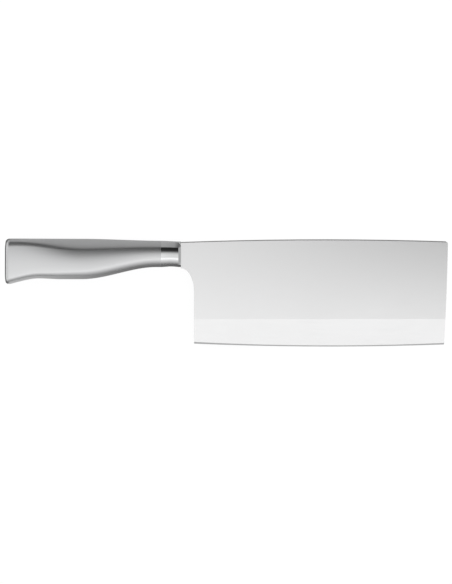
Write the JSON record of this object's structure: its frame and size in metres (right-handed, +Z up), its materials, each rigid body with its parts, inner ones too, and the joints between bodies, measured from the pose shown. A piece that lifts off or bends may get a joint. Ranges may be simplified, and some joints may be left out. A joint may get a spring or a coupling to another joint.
{
  "type": "chinese cleaver",
  "caption": "All-steel vegetable cleaver with a tall rectangular blade, a polished bolster and a hollow seam-welded steel handle.",
  "frame": {"origin": "centre of the knife's box on the surface that it lies on", "axes": "+X along the knife from butt to tip, +Y across the blade from edge to spine, +Z up, out of the blade's right flank"},
  "size_m": [0.3213, 0.0782, 0.0215],
  "materials": {
    "blade_steel": "satin ground sheet, fine lines along the blade",
    "bolster_steel": "polished",
    "handle_steel": "fine satin, bead blasted and brushed",
    "weight_iron": "as cast",
    "cement": "cured filler"
  },
  "bodies": {
    "root": {"blade": "blade_steel", "bolster": "bolster_steel", "right_handle_shell": "handle_steel", "left_handle_shell": "handle_steel", "butt_cap": "handle_steel", "top_seam_weld": "handle_steel", "bottom_seam_weld": "handle_steel", "balance_weight": "weight_iron", "tang_cement": "cement"}
  },
  "joints": []
}
